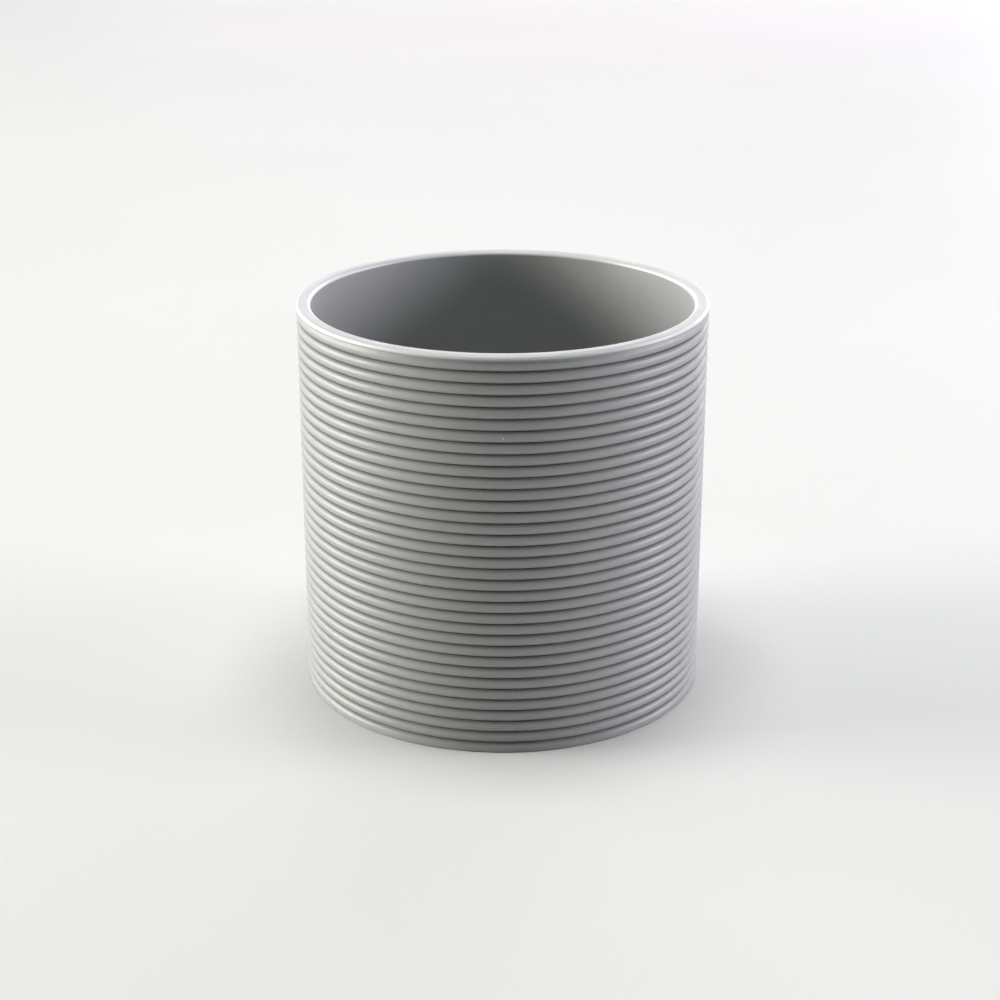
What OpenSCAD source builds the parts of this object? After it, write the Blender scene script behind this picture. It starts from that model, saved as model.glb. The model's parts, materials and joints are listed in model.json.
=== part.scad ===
// Rock tumbler barrel, open at the top.
// A ribbed rubber sleeve grips a stiff tube, a round plate closes the tube's lower end, and a
// rubber liner cup pushes in from the mouth until its turned-out lip lies on tube and sleeve.
// The barrel's axis is Z and it stands on Z = 0.

/* [Barrel] */
// Outer diameter over the ribs, where the barrel runs on its rollers
barrel_d = 114; // [113:1:120]
// Inner diameter of the chamber
bore_d = 106; // [100:0.5:106]

/* [Ribs] */
// Number of ribs on the sleeve, without the foot band
rib_count = 34; // [10:1:40]
// Distance from one rib to the next
rib_pitch = 3.16; // [2.9:0.02:3.2]
// Depth of the grooves between the ribs
groove_depth = 1.25; // [0.6:0.05:1.3]
// Depth of the shallow line between the top rib and the lip
lip_line = 0.35; // [0.2:0.05:1]
// Radius of a rib's rounded crest
crest_r = 1.6; // [1.6:0.05:1.8]
// Height of the band below the last groove
foot_band_h = 2.8; // [2.4:0.1:4]
// Rounding of the foot band's lower outer edge
foot_round = 0.5; // [0.3:0.1:0.8]

/* [Liner] */
// Thickness of the liner's wall
liner_wall = 1.3; // [1:0.1:1.8]
// Thickness of the liner's floor
liner_floor = 3; // [2:0.5:6]
// Thickness of the lip that turns out over the mouth
lip_t = 1.1; // [1:0.1:1.6]
// Rounding of the mouth's inner edge
mouth_round = 1.2; // [0.4:0.1:1.3]
// Rounding of the lip's outer edge
lip_round = 0.9; // [0.6:0.05:1]
// Hollow rounding where the liner's wall meets its floor
floor_round = 4; // [2:0.5:8]

/* [Stiff parts] */
// Wall of the tube between sleeve and liner
tube_wall = 0.6; // [0.4:0.1:1]
// Thickness of the base plate
plate_t = 1; // [0.8:0.1:2]
// Thickness of the sleeve's foot, which turns in under the tube
foot_t = 1.5; // [1:0.1:2]
// How far the foot reaches in under the base plate
foot_reach = 2.5; // [1:0.5:6]

/* [Hidden] */
$fn = 96;

barrel_r = barrel_d / 2;
bore_r = bore_d / 2;
height = lip_t + rib_count * rib_pitch + foot_band_h;
tube_in_r = bore_r + liner_wall;
tube_out_r = tube_in_r + tube_wall;
groove_r = barrel_r - groove_depth;
sleeve_h = height - lip_t;
foot_in_r = tube_in_r - foot_reach;
plate_z = foot_t;
liner_z = plate_z + plate_t;
floor_top_z = liner_z + liner_floor;

// Height of a rib's middle, counted from the lowest rib
function rib_z(i) = foot_band_h + (i + 0.5) * rib_pitch;

// Half section of the ribs: round beads that overlap, cut off at the tube; the top one is filled up
// towards the lip
module rib_section() {
    translate([tube_out_r, sleeve_h - rib_pitch / 2])
        square([barrel_r - lip_line - tube_out_r, rib_pitch / 2]);
    intersection() {
        for (i = [0 : rib_count - 1])
            translate([barrel_r - crest_r, rib_z(i)]) circle(r = crest_r);
        translate([tube_out_r, 0]) square([barrel_r - tube_out_r, sleeve_h]);
    }
}

// Half section of the band below the last groove, with a rounded edge at top and bottom
module foot_section() {
    upper_round = foot_band_h / 3;
    translate([foot_in_r, 0]) square([barrel_r - foot_round - foot_in_r, foot_t]);
    translate([tube_out_r, 0])
        square([barrel_r - upper_round - tube_out_r, foot_band_h]);
    translate([tube_out_r, foot_round])
        square([barrel_r - tube_out_r, foot_band_h - foot_round - upper_round]);
    translate([barrel_r - foot_round, foot_round]) circle(r = foot_round);
    translate([barrel_r - upper_round, foot_band_h - upper_round]) circle(r = upper_round);
}

// Ribbed traction sleeve, with a foot that turns in under the tube
module ribbed_sleeve() {
    color("#9da19f") rotate_extrude() {
        rib_section();
        translate([tube_out_r, 0]) square([groove_r - tube_out_r, sleeve_h]);
        difference() {
            foot_section();
            translate([0, foot_t]) square([tube_out_r, height]);
        }
    }
}

// Half section of the liner's wall, floor and rolled lip
module liner_section() {
    translate([bore_r, liner_z]) square([liner_wall, height - mouth_round - liner_z]);
    translate([0, liner_z]) square([tube_in_r, liner_floor]);
    translate([bore_r + mouth_round, height - mouth_round]) circle(r = mouth_round);
    translate([bore_r + mouth_round, height - lip_t])
        square([barrel_r - lip_round - bore_r - mouth_round, lip_t]);
    translate([barrel_r - lip_round, height - lip_round]) circle(r = lip_round);
    translate([bore_r - floor_round, floor_top_z]) difference() {
        square(floor_round);
        translate([0, floor_round]) circle(r = floor_round);
    }
}

// Rubber liner cup, whose lip covers the ends of tube and sleeve
module liner_cup() {
    color("#c9cccb") rotate_extrude() difference() {
        liner_section();
        translate([tube_in_r, 0]) square([barrel_r, height - lip_t]);
    }
}

// Stiff tube that keeps the rubber round
module core_tube() {
    color("silver") translate([0, 0, foot_t]) difference() {
        cylinder(r = tube_out_r, h = sleeve_h - foot_t);
        translate([0, 0, -1]) cylinder(r = tube_in_r, h = sleeve_h + 2);
    }
}

// Round plate pressed into the tube's lower end, lying on the sleeve's foot
module base_plate() {
    color("silver") translate([0, 0, plate_z]) cylinder(r = tube_in_r, h = plate_t);
}

ribbed_sleeve();
liner_cup();
core_tube();
base_plate();
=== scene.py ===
# %% [markdown]
# # A rock tumbler barrel
# The barrel is an open cylinder of light-grey rubber. Four pieces make it: a ribbed sleeve on the outside,
# a liner cup with a turned-out lip on the inside, a thin metal tube hidden between the two, and a metal
# plate that closes the lower end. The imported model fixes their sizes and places; this lesson gives
# them their true surfaces, finishes and light, one piece at a time.

# %% Load the frame
import json
import math

import bpy
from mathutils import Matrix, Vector


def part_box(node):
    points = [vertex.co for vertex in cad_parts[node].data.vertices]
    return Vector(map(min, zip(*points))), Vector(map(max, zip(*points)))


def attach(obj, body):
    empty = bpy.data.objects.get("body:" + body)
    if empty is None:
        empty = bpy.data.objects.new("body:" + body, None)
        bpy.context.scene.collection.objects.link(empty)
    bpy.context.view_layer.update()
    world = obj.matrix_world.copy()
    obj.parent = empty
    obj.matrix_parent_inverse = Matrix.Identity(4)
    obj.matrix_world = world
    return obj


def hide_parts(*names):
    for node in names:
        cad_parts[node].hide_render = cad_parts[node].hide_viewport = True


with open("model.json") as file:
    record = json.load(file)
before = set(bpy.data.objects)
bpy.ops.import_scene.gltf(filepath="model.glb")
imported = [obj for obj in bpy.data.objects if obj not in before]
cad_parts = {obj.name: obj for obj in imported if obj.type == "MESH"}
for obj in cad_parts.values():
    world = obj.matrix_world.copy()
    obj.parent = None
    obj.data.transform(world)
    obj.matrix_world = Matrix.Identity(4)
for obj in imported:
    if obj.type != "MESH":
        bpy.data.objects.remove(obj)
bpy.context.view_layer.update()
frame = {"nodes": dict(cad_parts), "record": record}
MM = 0.001
print("nodes:", sorted(frame["nodes"]))

# %% [markdown]
# ## Sizes
# Every size comes from the frame: a node's box gives radii and heights, and the record's mount gives the
# bore. Only what the boxes can't say, such as the pitch of the ribs, is a number of its own.

# %% Read the sizes
mounts = {m["name"]: m for m in frame["record"]["mounts"]}
BARREL_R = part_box("liner_cup")[1].x
BORE_R = mounts["chamber"]["dims"]["r_mm"] * MM
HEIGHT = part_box("liner_cup")[1].z
LIP_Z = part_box("ribbed_sleeve")[1].z
TUBE_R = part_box("core_tube")[1].x
TUBE_IN_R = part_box("base_plate")[1].x
FOOT_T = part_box("core_tube")[0].z
LINER_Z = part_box("liner_cup")[0].z
PLATE_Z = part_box("base_plate")[0].z

RIB_COUNT = 34
RIB_PITCH = 3.16 * MM
FOOT_BAND = LIP_Z - RIB_COUNT * RIB_PITCH
GROOVE_DEPTH = 1.25 * MM
LIP_LINE = 0.35 * MM
CREST_R = 1.6 * MM
print(f"barrel {BARREL_R / MM:.2f} mm in radius, {HEIGHT / MM:.2f} mm high, bore {BORE_R / MM:.2f} mm")
print(f"{RIB_COUNT} ribs of {RIB_PITCH / MM:.2f} mm above a foot band of {FOOT_BAND / MM:.2f} mm")

# %% [markdown]
# ## How a round piece is made
# Sleeve, liner and plate are all turned shapes: one half section, carried round the axis. A Geometry Nodes
# tree does that. It takes the half section as a closed line of edges, presses the grooves between the
# ribs into its outer side, and sweeps it round a circle. Spin or a lathe modifier would do as well, but the
# tree keeps the rib sizes as named inputs that can be turned up and down.

# %% A helper for node trees
def add(tree, kind, inputs=None, **settings):
    """Adds a node, sets its properties, and fills or links its inputs by name or number."""
    made = tree.nodes.new(kind)
    for name, value in settings.items():
        setattr(made, name, value)
    for key, value in (inputs or {}).items():
        if isinstance(value, bpy.types.NodeSocket):
            tree.links.new(value, made.inputs[key])
        else:
            made.inputs[key].default_value = value
    return made


def math_node(tree, operation, a, b=0.0, c=0.0):
    """One Math node; a, b and c are numbers or sockets. Returns its output socket."""
    return add(tree, "ShaderNodeMath", {0: a, 1: b, 2: c}, operation=operation).outputs[0]


# %% The turning tree
MERGE_DISTANCE = 0.002 * MM
OUTER_SLACK = 0.01 * MM
SHARP_ANGLE = math.radians(40)
RING_SEGMENTS = 128
TURN_INPUTS = {
    "Radius": ("NodeSocketFloat", BARREL_R),
    "Segments": ("NodeSocketInt", RING_SEGMENTS),
    "Rib count": ("NodeSocketInt", 0),
    "Rib pitch": ("NodeSocketFloat", RIB_PITCH),
    "Lowest groove": ("NodeSocketFloat", FOOT_BAND),
    "Groove depth": ("NodeSocketFloat", 0.0),
    "Lip line": ("NodeSocketFloat", 0.0),
    "Crest radius": ("NodeSocketFloat", CREST_R),
    "Finish": ("NodeSocketMaterial", None),
}


def groove_offset(tree, given, position):
    """How far a point of the outer side is pressed in: 0 on a rib's crest, and more along the round of the
    rib until the groove's depth is reached. The top rib's upper half is pressed in to the lip line only."""
    where = add(tree, "ShaderNodeSeparateXYZ", {0: position})
    height = math_node(tree, "MULTIPLY", where.outputs["Y"], -1.0)
    above = math_node(tree, "SUBTRACT", height, given["Lowest groove"])
    turns = math_node(tree, "DIVIDE", above, given["Rib pitch"])
    from_middle = math_node(tree, "SUBTRACT", math_node(tree, "FRACT", turns), 0.5)
    away = math_node(tree, "MULTIPLY", from_middle, given["Rib pitch"])
    radius = given["Crest radius"]
    radius_square = math_node(tree, "MULTIPLY", radius, radius)
    away_square = math_node(tree, "MULTIPLY", away, away)
    squares = math_node(tree, "SUBTRACT", radius_square, away_square)
    chord = math_node(tree, "SQRT", math_node(tree, "MAXIMUM", squares, 0.0))
    fall = math_node(tree, "SUBTRACT", radius, chord)
    last_crest = math_node(tree, "SUBTRACT", given["Rib count"], 0.5)
    in_top_half = math_node(tree, "GREATER_THAN", turns, last_crest)
    shallower = math_node(tree, "SUBTRACT", given["Lip line"], given["Groove depth"])
    deepest = math_node(tree, "MULTIPLY_ADD", in_top_half, shallower, given["Groove depth"])
    depth = math_node(tree, "MINIMUM", fall, deepest)
    is_outer = math_node(tree, "GREATER_THAN", where.outputs["X"], -OUTER_SLACK)
    is_above = math_node(tree, "GREATER_THAN", turns, -0.5)
    is_below = math_node(tree, "LESS_THAN", turns, given["Rib count"])
    on_ribs = math_node(tree, "MULTIPLY", is_outer, math_node(tree, "MULTIPLY", is_above, is_below))
    return math_node(tree, "MULTIPLY", math_node(tree, "MULTIPLY", depth, on_ribs), -1.0)


def turning_tree():
    """Half section in, turned body out."""
    tree = bpy.data.node_groups.new("turned_body", "GeometryNodeTree")
    tree.interface.new_socket("Section", in_out="INPUT", socket_type="NodeSocketGeometry")
    for name, (kind, value) in TURN_INPUTS.items():
        socket = tree.interface.new_socket(name, in_out="INPUT", socket_type=kind)
        if value is not None:
            socket.default_value = value
    tree.interface.new_socket("Body", in_out="OUTPUT", socket_type="NodeSocketGeometry")
    given = add(tree, "NodeGroupInput").outputs
    position = add(tree, "GeometryNodeInputPosition").outputs[0]
    press = add(tree, "ShaderNodeCombineXYZ", {0: groove_offset(tree, given, position)})
    pressed = add(
        tree, "GeometryNodeSetPosition", {"Geometry": given["Section"], "Offset": press.outputs[0]}
    )
    outline = add(tree, "GeometryNodeMeshToCurve", {"Mesh": pressed.outputs[0]})
    ring = add(
        tree, "GeometryNodeCurvePrimitiveCircle",
        {"Resolution": given["Segments"], "Radius": given["Radius"]}, mode="RADIUS",
    )
    swept = add(
        tree, "GeometryNodeCurveToMesh", {"Curve": ring.outputs[0], "Profile Curve": outline.outputs[0]}
    )
    closed = add(
        tree, "GeometryNodeMergeByDistance", {"Geometry": swept.outputs[0], "Distance": MERGE_DISTANCE}
    )
    outward = add(tree, "GeometryNodeFlipFaces", {"Mesh": closed.outputs[0]})
    smooth = add(tree, "GeometryNodeSetShadeSmooth", {"Geometry": outward.outputs[0]})
    bend = add(tree, "GeometryNodeInputMeshEdgeAngle").outputs["Unsigned Angle"]
    is_corner = math_node(tree, "GREATER_THAN", bend, SHARP_ANGLE)
    creased = add(
        tree, "GeometryNodeSetShadeSmooth",
        {"Geometry": smooth.outputs[0], "Selection": is_corner, "Shade Smooth": False}, domain="EDGE",
    )
    real = add(tree, "GeometryNodeRealizeInstances", {"Geometry": creased.outputs[0]})
    finish = add(
        tree, "GeometryNodeSetMaterial",
        {"Geometry": real.outputs[0], "Material": given["Finish"]},
    )
    add(tree, "NodeGroupOutput", {"Body": finish.outputs[0]})
    return tree


TURNING = turning_tree()
print("turning tree:", len(TURNING.nodes), "nodes,", len(TURN_INPUTS), "named inputs")

# %% From a half section to a piece
def turn(name, section, finish, **sizes):
    """Turns a half section, a list of (radius, height) points, into one plain mesh.

    Sweeping carries the section's Y axis downwards, so heights go in negative. A section that starts on
    the barrel's axis also ends on it, and one that doesn't is closed by an edge.
    """
    flat = [Vector((r - BARREL_R, -z, 0.0)) for r, z in section]
    edges = [(i, i + 1) for i in range(len(flat) - 1)]
    if section[0][0] > 0.0:
        edges.append((len(flat) - 1, 0))
    mesh = bpy.data.meshes.new(name + "_section")
    mesh.from_pydata(flat, edges, [])
    holder = bpy.data.objects.new(name + "_section", mesh)
    bpy.context.scene.collection.objects.link(holder)
    turning = holder.modifiers.new("turn", "NODES")
    turning.node_group = TURNING
    asked = {"Finish": finish, **{key.replace("_", " "): value for key, value in sizes.items()}}
    for item in TURNING.interface.items_tree:
        if item.in_out == "INPUT" and item.name in asked:
            turning[item.identifier] = asked[item.name]
    evaluated = holder.evaluated_get(bpy.context.evaluated_depsgraph_get())
    body = bpy.data.meshes.new_from_object(evaluated)
    bpy.data.objects.remove(holder)
    piece = bpy.data.objects.new(name, body)
    bpy.context.scene.collection.objects.link(piece)
    body.name = name
    print(f"{name}: {len(section)} points round the section, {2 * len(body.polygons)} triangles")
    return piece


def arc(centre, radius, start, end, steps):
    """Points on an arc of a half section, from one angle to another in degrees."""
    turns = [math.radians(start + (end - start) * i / steps) for i in range(steps + 1)]
    return [(centre[0] + radius * math.cos(t), centre[1] + radius * math.sin(t)) for t in turns]


def line(start, end, steps):
    """Evenly spaced points from start up to, but without, end."""
    return [
        (start[0] + (end[0] - start[0]) * i / steps, start[1] + (end[1] - start[1]) * i / steps)
        for i in range(steps)
    ]


# %% [markdown]
# ## The ribbed sleeve
# The sleeve is moulded rubber: round ribs, close together, that grip the tumbler's rollers, and a foot that
# turns in under the tube. Its half section has a plain outer side with sixteen points to a rib, closer
# together towards the grooves, and the tree presses the ribs' rounds into it.

# %% Section of the sleeve
FOOT_ROUND = 0.5 * MM
FOOT_REACH = 2.5 * MM
FOOT_IN_R = TUBE_IN_R - FOOT_REACH
POINTS_PER_RIB = 16
STEP_T = 0.01 * MM


def rib_heights():
    """Heights of the section's points: equal steps of angle round each rib, from the foot band up."""
    half_turn = math.asin(RIB_PITCH / 2 / CREST_R)
    steps = [half_turn * (2 * i / POINTS_PER_RIB - 1) for i in range(POINTS_PER_RIB)]
    rounds = [CREST_R * math.sin(a) for a in steps]
    below = [FOOT_BAND - RIB_PITCH / 2 + z for z in rounds[POINTS_PER_RIB // 2:]]
    return below + [FOOT_BAND + (rib + 0.5) * RIB_PITCH + z for rib in range(RIB_COUNT) for z in rounds]


def sleeve_section():
    """The bore first, then the foot and the ribbed side, whose last step forms the line under the lip."""
    corner = (BARREL_R - FOOT_ROUND, FOOT_ROUND)
    return [
        (TUBE_R, LIP_Z),
        (TUBE_R, FOOT_T),
        (FOOT_IN_R, FOOT_T),
        *arc((FOOT_IN_R + FOOT_ROUND, FOOT_ROUND), FOOT_ROUND, 180, 270, 6),
        *arc(corner, FOOT_ROUND, -90, 0, 8),
        *[(BARREL_R, z) for z in rib_heights()],
        (BARREL_R, LIP_Z - STEP_T),
        (BARREL_R - LIP_LINE, LIP_Z),
    ]


# %% [markdown]
# ## The finishes
# Each finish is a node tree on Object coordinates, so it stays put when the piece moves. The rubber has
# a tone that wanders slowly, a fine moulded grain, painted shade that darkens it low in the grooves, the
# lip's rounded edges painted pale as a painted highlight, and a few specks of dust.

# %% A helper for finishes
def new_finish(name):
    """A material with its shader and a texture coordinate; returns material, tree, shader and position."""
    finish = bpy.data.materials.new(name)
    finish.use_nodes = True
    tree = finish.node_tree
    shader = tree.nodes["Principled BSDF"]
    position = add(tree, "ShaderNodeTexCoord").outputs["Object"]
    return finish, tree, shader, position


def noise(tree, position, scale, detail=2.0, roughness=0.5):
    """Noise of that many cells a metre, from 0 to 1."""
    return add(
        tree, "ShaderNodeTexNoise",
        {"Vector": position, "Scale": scale, "Detail": detail, "Roughness": roughness},
    ).outputs["Fac"]


def between(tree, value, low, high, to_low=0.0, to_high=1.0):
    """The value's place between low and high, stretched to another range and held inside it."""
    return add(
        tree, "ShaderNodeMapRange", {0: value, 1: low, 2: high, 3: to_low, 4: to_high}
    ).outputs[0]


def blend_colours(tree, share, first, second):
    """Two colours, mixed by a share from 0 to 1."""
    mixed = add(tree, "ShaderNodeMix", {0: share}, data_type="RGBA")
    for socket, colour in ((mixed.inputs[6], first), (mixed.inputs[7], second)):
        if isinstance(colour, bpy.types.NodeSocket):
            tree.links.new(colour, socket)
        else:
            socket.default_value = (*colour, 1.0)
    return mixed.outputs[2]


def dust_mask(tree, position, cells, speck, share):
    """1 on a few round specks, which sit in that share of the cells, and 0 elsewhere."""
    cell = add(tree, "ShaderNodeTexVoronoi", {"Vector": position, "Scale": cells})
    near = between(tree, cell.outputs["Distance"], speck, speck * 0.5)
    chosen = add(tree, "ShaderNodeSeparateColor", {0: cell.outputs["Color"]}).outputs[0]
    return math_node(tree, "MULTIPLY", near, math_node(tree, "LESS_THAN", chosen, share))


def radius_of(tree, position):
    """Distance from the barrel's axis."""
    where = add(tree, "ShaderNodeSeparateXYZ", {0: position})
    squares = math_node(tree, "MULTIPLY", where.outputs["Y"], where.outputs["Y"])
    return math_node(
        tree, "SQRT", math_node(tree, "MULTIPLY_ADD", where.outputs["X"], where.outputs["X"], squares)
    )


# %% The rubber
# painted shade: rubber low in the grooves is darkened to this share of the dark tone
GROOVE_SHADE_TONE = 0.55
# painted highlight: the lip's rounded edges are lightened to this multiple of the light tone
LIP_HIGHLIGHT_TONE = 1.5
GRAIN_TONE = 1.5
# down to what depth a rib's rubber is free of painted groove shade, and over what heights the painted
# highlight on the lip's edges fades
UNSHADED_DEPTH = 0.3 * GROOVE_DEPTH
FADE_BELOW = 0.25 * MM
FADE_ABOVE = 0.15 * MM
DUST_COLOUR = (0.72, 0.72, 0.70)
# cells of noise in a metre
CLOUD_CELLS = 22.0
GRAIN_CELLS = 2400.0
GLOSS_CELLS = 140.0
DUST_CELLS = 210.0
# size of a speck against its cell, and the share of cells that hold one
DUST_SPECK = 0.055
DUST_SHARE = 0.05


def rubber(name, dark, light, rough, grain_height, groove_shade_radii=None, lip_highlight_heights=None):
    """Matt moulded rubber between two tones. The radii (inner, outer) given for the grooves mark where the
    painted shade in the grooves gives way to unshaded rubber. The heights (lower, upper) given for the lip
    mark its rounded edges, painted pale as a painted highlight."""
    finish, tree, shader, position = new_finish(name)
    tone = blend_colours(tree, between(tree, noise(tree, position, CLOUD_CELLS), 0.3, 0.7), dark, light)
    if groove_shade_radii:
        # painted shade: rubber low in the grooves is darkened, by its distance from the axis
        unshaded_share = between(tree, radius_of(tree, position), *groove_shade_radii)
        tone = blend_colours(tree, unshaded_share, tuple(v * GROOVE_SHADE_TONE for v in dark), tone)
    # painted highlight: the lip's rounded edges are lightened, by height
    if lip_highlight_heights:
        height = add(tree, "ShaderNodeSeparateXYZ", {0: position}).outputs["Z"]
        from_below = between(tree, height, lip_highlight_heights[0], lip_highlight_heights[0] + FADE_BELOW)
        from_above = between(tree, height, lip_highlight_heights[1], lip_highlight_heights[1] - FADE_ABOVE)
        lip_highlight = math_node(tree, "MULTIPLY", from_below, from_above)
        tone = blend_colours(tree, lip_highlight, tone, tuple(v * LIP_HIGHLIGHT_TONE for v in light))
    grain = noise(tree, position, GRAIN_CELLS, 2.0, 0.6)
    tone = blend_colours(
        tree, between(tree, grain, 0.35, 0.75, 0.0, 0.10), tone, tuple(v * GRAIN_TONE for v in light)
    )
    dust = dust_mask(tree, position, DUST_CELLS, DUST_SPECK, DUST_SHARE)
    tree.links.new(blend_colours(tree, dust, tone, DUST_COLOUR), shader.inputs["Base Color"])
    gloss = noise(tree, position, GLOSS_CELLS, 3.0)
    matt = between(tree, gloss, 0.3, 0.7, rough - 0.04, rough + 0.05)
    dusty = math_node(tree, "MAXIMUM", matt, math_node(tree, "MULTIPLY", dust, 0.9))
    tree.links.new(dusty, shader.inputs["Roughness"])
    relief = math_node(tree, "MULTIPLY_ADD", dust, 2.0, grain)
    bump = add(tree, "ShaderNodeBump", {"Height": relief, "Distance": grain_height, "Strength": 1.0})
    tree.links.new(bump.outputs[0], shader.inputs["Normal"])
    shader.inputs["IOR"].default_value = 1.5
    return finish


# the sleeve's grooves carry painted shade
SLEEVE_RUBBER = rubber(
    "ribbed_rubber", (0.286, 0.295, 0.29), (0.304, 0.312, 0.308), 0.45, 0.006 * MM,
    groove_shade_radii=(BARREL_R - GROOVE_DEPTH, BARREL_R - UNSHADED_DEPTH),
)
# the liner's lip edges carry a painted highlight
LINER_RUBBER = rubber(
    "liner_rubber", (0.337, 0.347, 0.347), (0.356, 0.366, 0.366), 0.35, 0.004 * MM,
    lip_highlight_heights=(LIP_Z, HEIGHT),
)
print("rubber finishes:", SLEEVE_RUBBER.name, LINER_RUBBER.name)

# %% The metal
STAIN_CELLS = 35.0
STAIN_TONE = 0.72
RING_HEIGHT = 0.01 * MM


def turned_metal(name, tint, rings):
    """Aluminium with fine rings round the axis, a number of them to the metre."""
    finish, tree, shader, position = new_finish(name)
    radius = radius_of(tree, position)
    across = add(tree, "ShaderNodeCombineXYZ", {0: radius, 1: 0.0, 2: 0.0}).outputs[0]
    ring = noise(tree, across, rings, 3.0, 0.7)
    stain = noise(tree, position, STAIN_CELLS, 4.0)
    dull = tuple(v * STAIN_TONE for v in tint)
    tone = blend_colours(tree, between(tree, stain, 0.35, 0.7), tint, dull)
    tree.links.new(tone, shader.inputs["Base Color"])
    tree.links.new(between(tree, ring, 0.3, 0.7, 0.28, 0.46), shader.inputs["Roughness"])
    bump = add(tree, "ShaderNodeBump", {"Height": ring, "Distance": RING_HEIGHT, "Strength": 1.0})
    tree.links.new(bump.outputs[0], shader.inputs["Normal"])
    shader.inputs["Metallic"].default_value = 1.0
    return finish


PLATE_METAL = turned_metal("spun_aluminium", (0.72, 0.73, 0.75), 900.0)
TUBE_METAL = turned_metal("drawn_aluminium", (0.68, 0.69, 0.71), 400.0)

# %% Make the sleeve
sleeve = turn(
    "ribbed_sleeve_body", sleeve_section(), SLEEVE_RUBBER,
    Rib_count=RIB_COUNT, Groove_depth=GROOVE_DEPTH, Lip_line=LIP_LINE, Crest_radius=CREST_R,
)
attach(sleeve, "root")
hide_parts("ribbed_sleeve")

# %% [markdown]
# ## The liner
# The liner is one moulding: floor, wall and the lip that lies over the ends of tube and sleeve. The lip's
# edges are rounded, and those small rounds catch the brightest light, so they get points of their own.

# %% Section of the liner
LIP_T = HEIGHT - LIP_Z
MOUTH_ROUND = 1.2 * MM
LIP_ROUND = 0.9 * MM
FLOOR_T = 3.0 * MM
FLOOR_TOP = LINER_Z + FLOOR_T
FLOOR_ROUND = 4.0 * MM


def liner_section():
    under_lip = -math.degrees(math.asin((LIP_T - LIP_ROUND) / LIP_ROUND))
    return [
        (0.0, LINER_Z),
        (TUBE_IN_R, LINER_Z),
        (TUBE_IN_R, LIP_Z),
        *arc((BARREL_R - LIP_ROUND, HEIGHT - LIP_ROUND), LIP_ROUND, under_lip, 90, 14),
        *line((BARREL_R - LIP_ROUND - 0.2 * MM, HEIGHT), (BORE_R + MOUTH_ROUND, HEIGHT), 6),
        *arc((BORE_R + MOUTH_ROUND, HEIGHT - MOUTH_ROUND), MOUTH_ROUND, 90, 180, 16),
        *line((BORE_R, HEIGHT - 2 * MOUTH_ROUND), (BORE_R, FLOOR_TOP + FLOOR_ROUND), 40),
        *arc((BORE_R - FLOOR_ROUND, FLOOR_TOP + FLOOR_ROUND), FLOOR_ROUND, 0, -90, 12),
        *line((BORE_R - 2 * FLOOR_ROUND, FLOOR_TOP), (0.0, FLOOR_TOP), 12),
        (0.0, FLOOR_TOP),
    ]


# %% Make the liner
liner = turn("liner_cup_body", liner_section(), LINER_RUBBER)
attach(liner, "root")
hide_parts("liner_cup")

# %% [markdown]
# ## The base plate
# Seen only from below: a disc of spun aluminium that closes the tube. A pressed ring and a centre dimple
# stiffen it, as in the lid of a tin.

# %% Make the base plate
PLATE_TOP = LINER_Z
RING_R = 33.0 * MM
RING_HALF = 3.0 * MM
RING_RISE = 0.4 * MM
RING_STEPS = 16
DIMPLE_R = 5.0 * MM
DIMPLE_STEPS = 10


def plate_section():
    under = [
        (RING_R + RING_HALF * math.cos(t), PLATE_Z + RING_RISE * math.sin(t))
        for t in (math.pi * i / RING_STEPS for i in range(RING_STEPS + 1))
    ]
    dimple = [
        (DIMPLE_R * (1 - share), PLATE_Z + RING_RISE * math.sin(math.pi / 2 * share) ** 2)
        for share in (i / DIMPLE_STEPS for i in range(DIMPLE_STEPS + 1))
    ]
    edge = [(TUBE_IN_R, PLATE_Z), (TUBE_IN_R, PLATE_TOP)]
    return [*reversed(dimple), *reversed(under), *edge, (0.0, PLATE_TOP)]


plate = turn("base_plate_disc", plate_section(), PLATE_METAL)
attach(plate, "root")
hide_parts("base_plate")

# %% [markdown]
# ## The tube
# The tube is shut in between sleeve and liner. Its CAD shape is right, so it stays and only gets its metal.

# %% Finish the tube
tube = frame["nodes"]["core_tube"]
tube.data.materials.clear()
tube.data.materials.append(TUBE_METAL)

# %% [markdown]
# ## The stage
# A pale sweep: a floor that rises behind in one smooth curve, far enough away that no edge shows.

# %% Make the sweep
SWEEP_HALF = 3.0
SWEEP_FRONT = -1.6
SWEEP_BACK = 2.6
SWEEP_RISE = 1.4


def make_sweep():
    along = [(SWEEP_FRONT, 0.0), (SWEEP_BACK, 0.0)]
    bend = arc((SWEEP_BACK, SWEEP_RISE), SWEEP_RISE, -90, 0, 24)[1:]
    side = along + bend
    points = [(x, y, z) for y, z in side for x in (-SWEEP_HALF, SWEEP_HALF)]
    faces = [(2 * i, 2 * i + 1, 2 * i + 3, 2 * i + 2) for i in range(len(side) - 1)]
    mesh = bpy.data.meshes.new("sweep")
    mesh.from_pydata(points, [], faces)
    mesh.shade_smooth()
    sweep = bpy.data.objects.new("sweep", mesh)
    bpy.context.scene.collection.objects.link(sweep)
    return sweep


def paper(name, dark, light):
    """Smooth pale card, a touch uneven in tone."""
    finish, tree, shader, position = new_finish(name)
    tone = blend_colours(tree, between(tree, noise(tree, position, 3.0), 0.3, 0.7), dark, light)
    tree.links.new(tone, shader.inputs["Base Color"])
    shader.inputs["Roughness"].default_value = 0.6
    shader.inputs["Specular IOR Level"].default_value = 0.2
    return finish


sweep = make_sweep()
sweep.data.materials.append(paper("pale_card", (0.59, 0.59, 0.585), (0.61, 0.61, 0.605)))

# %% [markdown]
# ## Light
# High-key studio light: softboxes above, behind and to both sides, and nothing on the camera's side, so
# the front of the barrel is lit by the pale floor alone.

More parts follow.
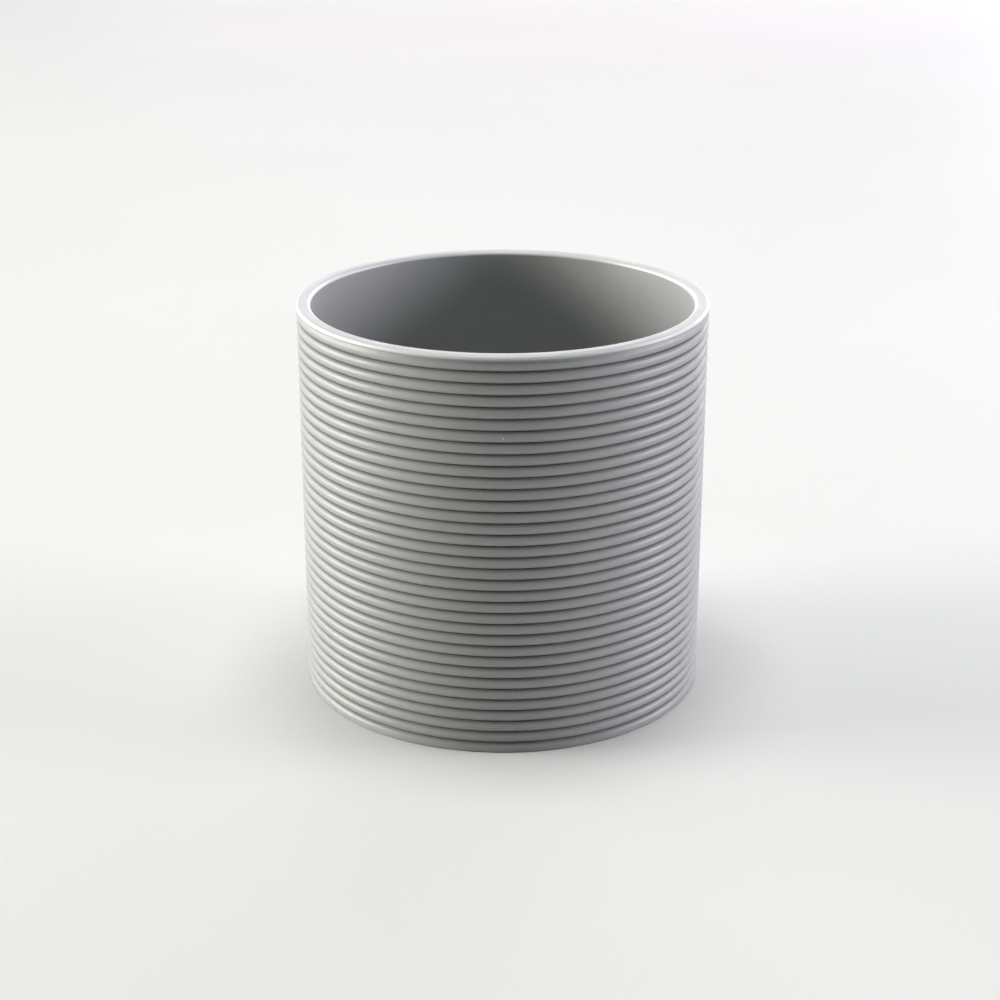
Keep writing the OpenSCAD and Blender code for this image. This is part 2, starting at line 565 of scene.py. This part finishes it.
# %% Place the softboxes
GREENISH = (0.97, 1.0, 0.975)
WARM = (1.0, 0.97, 0.90)
VIOLET = (0.945, 0.905, 1.0)
COOL = (0.97, 0.985, 1.0)
ROSE = (1.0, 0.86, 0.98)
SIDE_BOX = (1.3, 1.3)
SOFTBOXES = {
    # name: azimuth from the back towards the left, elevation, distance, size, power, tint
    "backdrop": (0, 17, 2.5, (4.2, 1.5), 19, GREENISH),
    "top": (0, 90, 1.7, (0.8, 0.8), 24, GREENISH),
    "left": (90, 10, 2.8, SIDE_BOX, 120, WARM),
    "right": (270, 10, 2.8, SIDE_BOX, 75, VIOLET),
    "left_back": (60, 14, 2.8, SIDE_BOX, 34, COOL),
    "right_back": (300, 14, 2.8, SIDE_BOX, 13, COOL),
    "back_right": (330, 14, 2.8, SIDE_BOX, 23, VIOLET),
    "back": (0, 14, 2.8, SIDE_BOX, 7.5, ROSE),
}
LIGHT_TARGET = Vector((0.0, 0.0, HEIGHT / 2))


def softbox(name, azimuth, elevation, distance, size, power, tint):
    """A flat area light that faces the barrel from that direction."""
    turn_by, lift = math.radians(azimuth), math.radians(elevation)
    out = Vector((-math.sin(turn_by) * math.cos(lift), math.cos(turn_by) * math.cos(lift), math.sin(lift)))
    lamp = bpy.data.lights.new(name, "AREA")
    lamp.shape = "RECTANGLE"
    lamp.size, lamp.size_y = size
    lamp.energy = power
    lamp.color = tint
    holder = bpy.data.objects.new(name, lamp)
    bpy.context.scene.collection.objects.link(holder)
    holder.location = LIGHT_TARGET + out * distance
    holder.rotation_euler = (-out).to_track_quat("-Z", "Y").to_euler()


for name, settings in SOFTBOXES.items():
    softbox(name, *settings)
print("softboxes:", ", ".join(SOFTBOXES))

# %% [markdown]
# The room itself gives no light from above. It only looks pale where the view passes the card's edge, and
# a weak glow from under the horizon shows the barrel's underside once the card is gone.

# %% Make the room
ROOM_TONE = 0.9
GLOW_BELOW = 0.7


def make_room():
    room = bpy.data.worlds.new("studio")
    room.use_nodes = True
    tree = room.node_tree
    towards = add(tree, "ShaderNodeTexCoord").outputs["Generated"]
    height = add(tree, "ShaderNodeSeparateXYZ", {0: towards}).outputs["Z"]
    below = math_node(tree, "MULTIPLY", math_node(tree, "LESS_THAN", height, 0.0), GLOW_BELOW)
    seen = math_node(tree, "MULTIPLY", add(tree, "ShaderNodeLightPath").outputs["Is Camera Ray"], ROOM_TONE)
    backdrop = tree.nodes["Background"]
    backdrop.inputs["Color"].default_value = (1.0, 1.0, 1.0, 1.0)
    tree.links.new(math_node(tree, "MAXIMUM", seen, below), backdrop.inputs["Strength"])
    return room


bpy.context.scene.world = make_room()

# %% [markdown]
# ## Camera
# A short telephoto, a little above the barrel, looking down at its middle.

# %% Place the camera
CAMERA_TILT = math.radians(20.8)
CAMERA_DISTANCE = 10.08 * BARREL_R
CAMERA_SIDE = -0.0127 * BARREL_R
CAMERA_AIM = HEIGHT - 1.052 * BARREL_R
# in the camera's own unit, mm
SENSOR_WIDTH = 36.0
FOCAL_LENGTH = 71.98

lens = bpy.data.cameras.new("camera")
lens.sensor_width = SENSOR_WIDTH
lens.lens = FOCAL_LENGTH
camera = bpy.data.objects.new("camera", lens)
bpy.context.scene.collection.objects.link(camera)
camera.location = (
    CAMERA_SIDE,
    -CAMERA_DISTANCE * math.cos(CAMERA_TILT),
    CAMERA_AIM + CAMERA_DISTANCE * math.sin(CAMERA_TILT),
)
camera.rotation_euler = (math.pi / 2 - CAMERA_TILT, 0.0, 0.0)
bpy.context.scene.camera = camera
bpy.context.scene.view_settings.view_transform = "Standard"
print("camera at", [round(v, 3) for v in camera.location])
